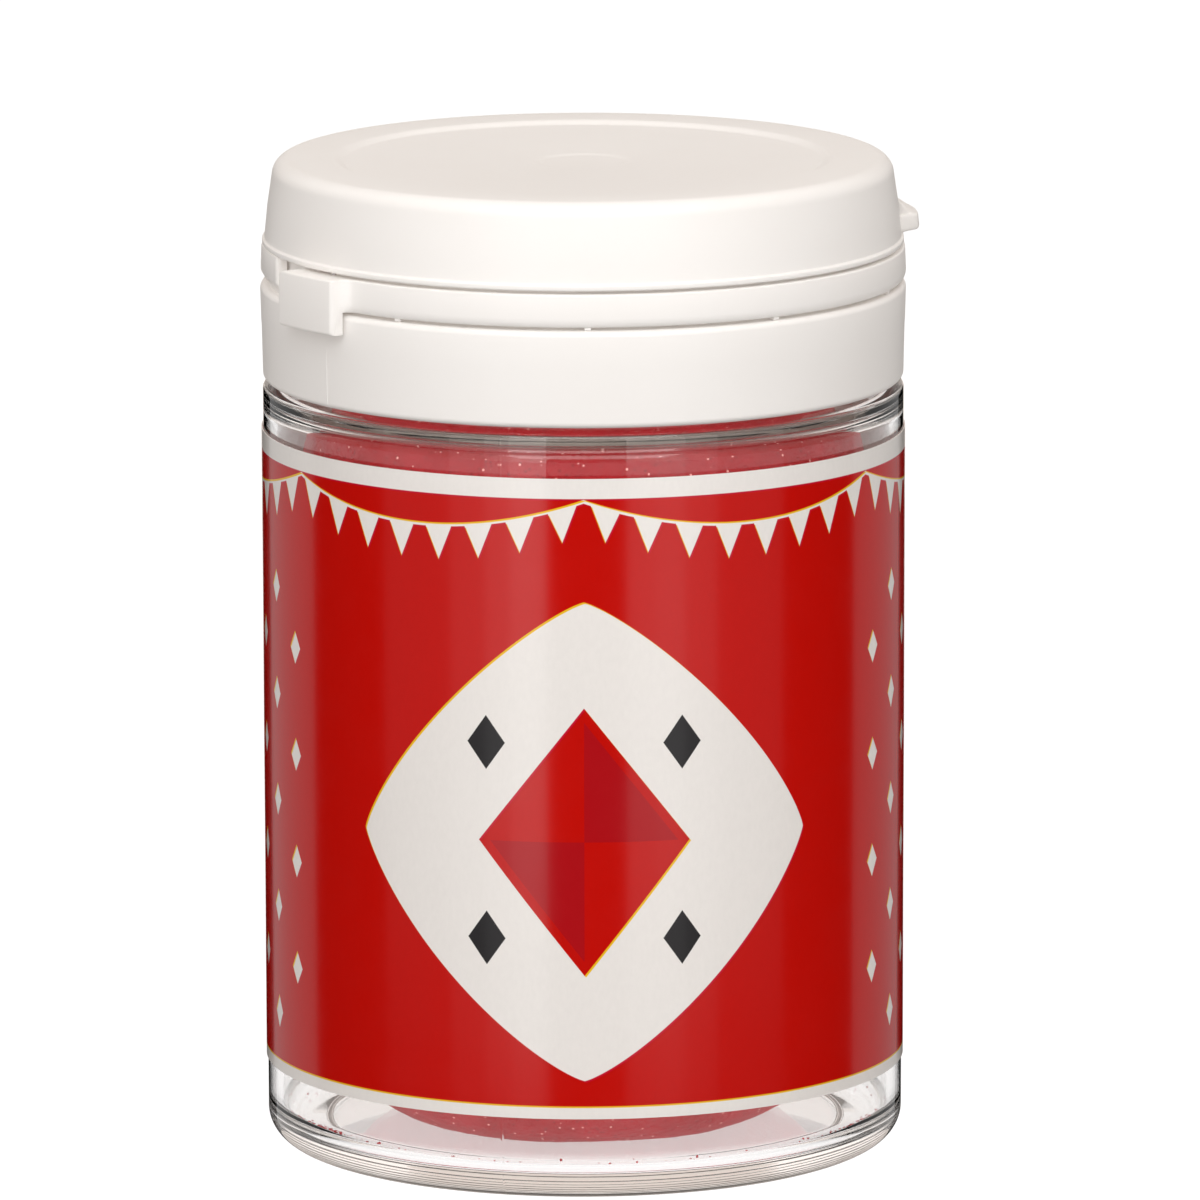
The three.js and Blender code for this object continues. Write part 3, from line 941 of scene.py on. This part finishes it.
# Middle azimuth, width in degrees and number of grains in each heap of crumbs
CRUMB_HEAPS = ((-62.0, 13.0, 70), (66.0, 12.0, 30), (0.0, 170.0, 40), (180.0, 180.0, 30))
CRUMB_SIZES = (0.05, 0.17)
CRUMB_GAP = 0.03


def foam():
    shader = Shader("nose_foam")
    pores = shader.cells(FOAM_CELL)
    patches = shader.noise(5.0, detail=3.0)
    base = shader.ramp(patches, (0.3, FOAM_DEEP), (0.7, FOAM_BRIGHT))
    # Painted shade: the pits of the cell relief are made darker.
    dark = shader.ramp(pores, (0.0, FOAM_PORE_SHADE), (0.3, (1.0, 1.0, 1.0, 1.0)))
    colour = shader.mix(1.0, base, dark, "MULTIPLY")
    # Painted highlights: small pale specks stand in for glints on the foam.
    glints = shader.ramp(shader.cells(0.9), (0.09, (1.0, 1.0, 1.0, 1.0)), (0.13, (0.0, 0.0, 0.0, 1.0)))
    with_painted_glints = shader.mix(glints, colour, FOAM_PAINTED_GLINT)
    shader.set(Base_Color=with_painted_glints, Roughness=0.9, IOR=1.4, Sheen_Weight=0.1, Sheen_Roughness=0.5)
    shader.bump(pores, 0.12, 0.5)
    return shader.material


def quarter(flat_radius, level, rise, fullness):
    """The swelling edge from a flat end of the nose to its full girth."""
    steps = 30
    points = []
    for i in range(steps + 1):
        angle = math.pi / 2 * i / steps
        out = math.sin(angle) ** (2 / fullness)
        up = 1.0 - math.cos(angle) ** (2 / fullness)
        points.append((flat_radius + (NOSE_RADIUS - flat_radius) * out, level + rise * up))
    return points


def nose_skin():
    """The barrel that the ball is squeezed to, as a closed surface turned about the axis."""
    seat = quarter(NOSE_SEAT_RADIUS, NOSE_SEAT, NOSE_SEAT_RISE, NOSE_SEAT_FULLNESS)
    crown = quarter(NOSE_CROWN_RADIUS, NOSE_TOP, -NOSE_CROWN_DROP, NOSE_CROWN_FULLNESS)
    profile = [(0.0, NOSE_SEAT), *seat, *reversed(crown), (0.0, NOSE_TOP)]
    return lofted("foam_nose", columns(), lambda azimuth: profile, loop=False)


def slit_solid():
    """The lens that the slit takes out of the nose, flared at its mouth."""
    across = 40
    levels = [(-SLIT_DEPTH, 0.55), (-SLIT_DEPTH + 1.5, 0.9), (-SLIT_DEPTH + 4.0, 1.0), (-SLIT_EDGE, 1.0)]
    levels += [(-SLIT_EDGE * 0.4, 1.06), (0.0, 1.25), (1.5, 1.6)]
    vertices, faces = [], []
    for depth, share in levels:
        for i in range(2 * across):
            t = i / across if i <= across else 2 - i / across
            side = -1 if i <= across else 1
            x = (t - 0.5) * (SLIT_LENGTH + (share - 1.0) * SLIT_WIDTH)
            y = side * SLIT_WIDTH * 2 * t * (1 - t) * share
            vertices.append(((AXIS_X + x) * MM, y * MM, (NOSE_TOP + depth) * MM))
    size = 2 * across
    for j in range(len(levels) - 1):
        for i in range(size):
            k = (i + 1) % size
            faces.append((j * size + i, j * size + k, (j + 1) * size + k, (j + 1) * size + i))
    faces.append(tuple(range(size)))
    faces.append(tuple(range((len(levels) - 1) * size, len(levels) * size)))
    return mesh_object("slit", vertices, faces)


def applied(piece, kind, **settings):
    modifier = piece.modifiers.new(kind.lower(), kind)
    for name, value in settings.items():
        setattr(modifier, name, value)
    seen = piece.evaluated_get(bpy.context.evaluated_depsgraph_get())
    mesh = bpy.data.meshes.new_from_object(seen)
    piece.modifiers.clear()
    old = piece.data
    piece.data = mesh
    bpy.data.meshes.remove(old)


def make_nose(material):
    nose = nose_skin()
    slit = slit_solid()
    applied(nose, "BOOLEAN", operation="DIFFERENCE", object=slit, solver="EXACT")
    bpy.data.objects.remove(slit)
    applied(nose, "REMESH", mode="VOXEL", voxel_size=FOAM_VOXEL * MM, use_smooth_shade=True)
    applied(nose, "SMOOTH", factor=0.5, iterations=3)
    mesh = nose.data
    normals = [vertex.normal.copy() for vertex in mesh.vertices]
    for vertex, normal in zip(mesh.vertices, normals):
        fine = noise.noise(vertex.co / (FOAM_GRAIN * MM))
        coarse = noise.noise(vertex.co / (FOAM_DENT_SIZE * MM))
        vertex.co += normal * (FOAM_ROUGHNESS * fine + FOAM_DENT * (coarse - 1.0)) * MM
    mesh.shade_smooth()
    mesh.name = "foam_nose"
    dress(nose, material, "jar_body", "red_foam", "nose")
    return nose


def crumb(where, size, seed):
    """A torn grain of foam: a small ball pushed in and out at random."""
    draw = random.Random(seed)
    work = bmesh.new()
    bmesh.ops.create_icosphere(work, subdivisions=1, radius=size * MM)
    for vertex in work.verts:
        vertex.co *= draw.uniform(0.55, 1.15)
        vertex.co += where
    mesh = bpy.data.meshes.new("crumb")
    work.to_mesh(mesh)
    work.free()
    return mesh


def make_crumbs(material):
    """Grains of foam that lie on the jar's floor and in its heel, round the nose."""
    draw = random.Random(7)
    floor_top = FOOT_RECESS + FLOOR_THICKNESS
    heel_middle = JAR_RADIUS - JAR_TAPER - JAR_WALL - INNER_HEEL_RADIUS
    work = bmesh.new()
    for middle, width, count in CRUMB_HEAPS:
        for _ in range(count):
            azimuth = middle + draw.gauss(0.0, width / 2)
            angle = math.radians(draw.uniform(-88.0, -15.0))
            size = draw.uniform(*CRUMB_SIZES)
            reach = INNER_HEEL_RADIUS - size - CRUMB_GAP
            radius = heel_middle + reach * math.cos(angle)
            height = floor_top + INNER_HEEL_RADIUS + reach * math.sin(angle)
            grain = crumb(place(azimuth, radius, height), size, draw.random())
            work.from_mesh(grain)
            bpy.data.meshes.remove(grain)
    mesh = bpy.data.meshes.new("foam_crumbs")
    work.to_mesh(mesh)
    work.free()
    mesh.shade_smooth()
    crumbs = bpy.data.objects.new("foam_crumbs", mesh)
    bpy.context.scene.collection.objects.link(crumbs)
    return dress(crumbs, material, "jar_body", "red_foam")


# Studio

TABLE_WIDTH = 6000.0
TABLE_GAP = 0.05
FLOOR_GLOW = 0.95
FLOOR_LIGHT = 0.26
ROOM_GLOW = 0.45
ROOM_COLOUR = (1.0, 0.89, 0.81, 1.0)
BACKDROP_GLOW = 0.8
PANEL_DISTANCE = 900.0
PANEL_TOP = 900.0
FRONT_PANEL_FOOT = -185.0
BACK_PANEL_FOOT = -300.0
STRAIGHT_BEHIND = 0.975
STEEPLY_DOWN = -0.33
# First azimuth, last azimuth and radiance of each panel
BACK_PANELS = {
    "back_left": (-152.0, -112.0, 0.4),
    "back_right": (112.0, 155.0, 0.34),
}
FRONT_PANELS = (
    (-26.0, -13.0, 1.38),
    (-35.0, -26.0, 0.90),
    (-48.0, -35.0, 0.504),
    (-75.0, -48.0, 0.204),
    (15.0, 25.0, 0.78),
    (25.0, 36.0, 0.936),
    (36.0, 48.0, 0.564),
    (48.0, 75.0, 0.216),
)


def make_floor():
    """A white table that glows. A mirror ray off the outside of the jar or label goes through it."""
    half = TABLE_WIDTH / 2
    corners = [(-half, -half), (half, -half), (half, half), (-half, half)]
    vertices = [Vector((x, y, -TABLE_GAP)) * MM for x, y in corners]
    floor = mesh_object("studio_floor", vertices, [(0, 1, 2, 3)])
    shader = Shader("studio_floor")
    shade = shader.mix(shader.noise(60.0), (0.14, 0.14, 0.14, 1.0), (0.16, 0.16, 0.16, 1.0))
    shader.set(
        Base_Color=shade, Roughness=0.9, IOR=1.3,
        Emission_Color=(1.0, 1.0, 1.0, 1.0),
    )
    light_path = shader.node("ShaderNodeLightPath")
    through = shader.maths("GREATER_THAN", light_path.outputs["Transmission Depth"], 0.5)
    seen = shader.maths("MAXIMUM", light_path.outputs["Is Camera Ray"], through)
    shader.set(Emission_Strength=shader.maths("MULTIPLY_ADD", seen, FLOOR_GLOW - FLOOR_LIGHT, FLOOR_LIGHT))
    mirrored = shader.maths("GREATER_THAN", light_path.outputs["Is Glossy Ray"], through)
    shader.let_through(mirrored, (1.0, 1.0, 1.0, 1.0))
    floor.data.materials.append(shader.material)


def softbox(name, first, last, low, high, radiance):
    """An upright panel between two azimuths that faces the jar. Radiance 1 looks like white paper."""
    middle = (first + last) / 2
    width = 2 * PANEL_DISTANCE * math.tan(math.radians(last - first) / 2)
    piece = panel_light(name, width, high - low, radiance)
    piece.location = place(middle, PANEL_DISTANCE, (low + high) / 2)
    piece.rotation_euler = (math.pi / 2, 0.0, math.radians(middle))


def panel_light(name, width, height, radiance):
    light = bpy.data.lights.new(name, "AREA")
    light.shape = "RECTANGLE"
    light.size = width * MM
    light.size_y = height * MM
    light.energy = radiance * math.pi * light.size * light.size_y
    piece = bpy.data.objects.new(name, light)
    piece.visible_camera = False
    bpy.context.scene.collection.objects.link(piece)
    return piece


def make_lights():
    """Graded front panels with a gap between them, dim back panels, one overhead and a near key light."""
    for first, last, radiance in FRONT_PANELS:
        softbox("front_panel", first, last, FRONT_PANEL_FOOT, PANEL_TOP, radiance)
    for name, (first, last, radiance) in BACK_PANELS.items():
        softbox(name, first, last, BACK_PANEL_FOOT, PANEL_TOP, radiance)
    overhead = panel_light("overhead", 1300.0, 1300.0, 0.2)
    overhead.location = Vector((-200.0, 100.0, 1000.0)) * MM
    front_high = panel_light("front_high", 420.0, 260.0, 3.0)
    front_high.location = Vector((25.0, -330.0, 330.0)) * MM
    front_high.rotation_euler = (math.radians(45.0), 0.0, 0.0)


def make_room():
    """A grey room above the table that is white through clear plastic. Below the table it is dark
    to mirror rays, but for the backdrop straight behind and steeply down."""
    world = bpy.data.worlds.new("studio")
    world.use_nodes = True
    nodes, links = world.node_tree.nodes, world.node_tree.links

    def maths(operation, *values):
        made = nodes.new("ShaderNodeMath")
        made.operation = operation
        for socket, value in zip(made.inputs, values):
            if isinstance(value, float):
                socket.default_value = value
            else:
                links.new(value, socket)
        return made.outputs[0]

    parts = nodes.new("ShaderNodeSeparateXYZ")
    links.new(nodes.new("ShaderNodeTexCoord").outputs["Generated"], parts.inputs[0])
    light_path = nodes.new("ShaderNodeLightPath")
    through = maths("GREATER_THAN", light_path.outputs["Transmission Depth"], 0.5)
    room = maths("MULTIPLY_ADD", through, BACKDROP_GLOW - ROOM_GLOW, ROOM_GLOW)
    above = maths("GREATER_THAN", parts.outputs["Z"], 0.0)
    behind = maths("GREATER_THAN", parts.outputs["Y"], STRAIGHT_BEHIND)
    steep = maths("LESS_THAN", parts.outputs["Z"], STEEPLY_DOWN)
    backdrop = maths("MULTIPLY", maths("MAXIMUM", behind, steep), light_path.outputs["Is Glossy Ray"])
    glow = maths("MAXIMUM", maths("MULTIPLY", above, room), maths("MULTIPLY", backdrop, BACKDROP_GLOW))
    background = nodes["Background"]
    background.inputs["Color"].default_value = ROOM_COLOUR
    links.new(glow, background.inputs["Strength"])
    bpy.context.scene.world = world


def make_camera():
    data = bpy.data.cameras.new("camera")
    data.lens = CAMERA_LENS
    data.sensor_width = 36.0
    data.clip_start = 0.05
    camera = bpy.data.objects.new("camera", data)
    turn = Matrix.Rotation(-CAMERA_YAW, 3, "Z")
    tip = Matrix.Rotation(math.pi / 2 - CAMERA_PITCH, 3, "X")
    roll = Matrix.Rotation(CAMERA_ROLL, 3, "Z")
    camera.rotation_euler = (turn @ tip @ roll).to_euler()
    camera.location = place(0.0, CAMERA_DISTANCE, CAMERA_HEIGHT)
    bpy.context.scene.collection.objects.link(camera)
    bpy.context.scene.camera = camera


make_camera()
make_jar()
make_label()
white_plastic = cap_plastic()
make_cap_ring(white_plastic)
make_tear_band(white_plastic)
make_lid(white_plastic)
make_film_hinge(white_plastic)
nose_foam = foam()
make_nose(nose_foam)
make_crumbs(nose_foam)
make_floor()
make_lights()
make_room()
scene = bpy.context.scene
scene.view_settings.view_transform = "Standard"
scene.cycles.glossy_bounces = 12
scene.cycles.transparent_max_bounces = 16
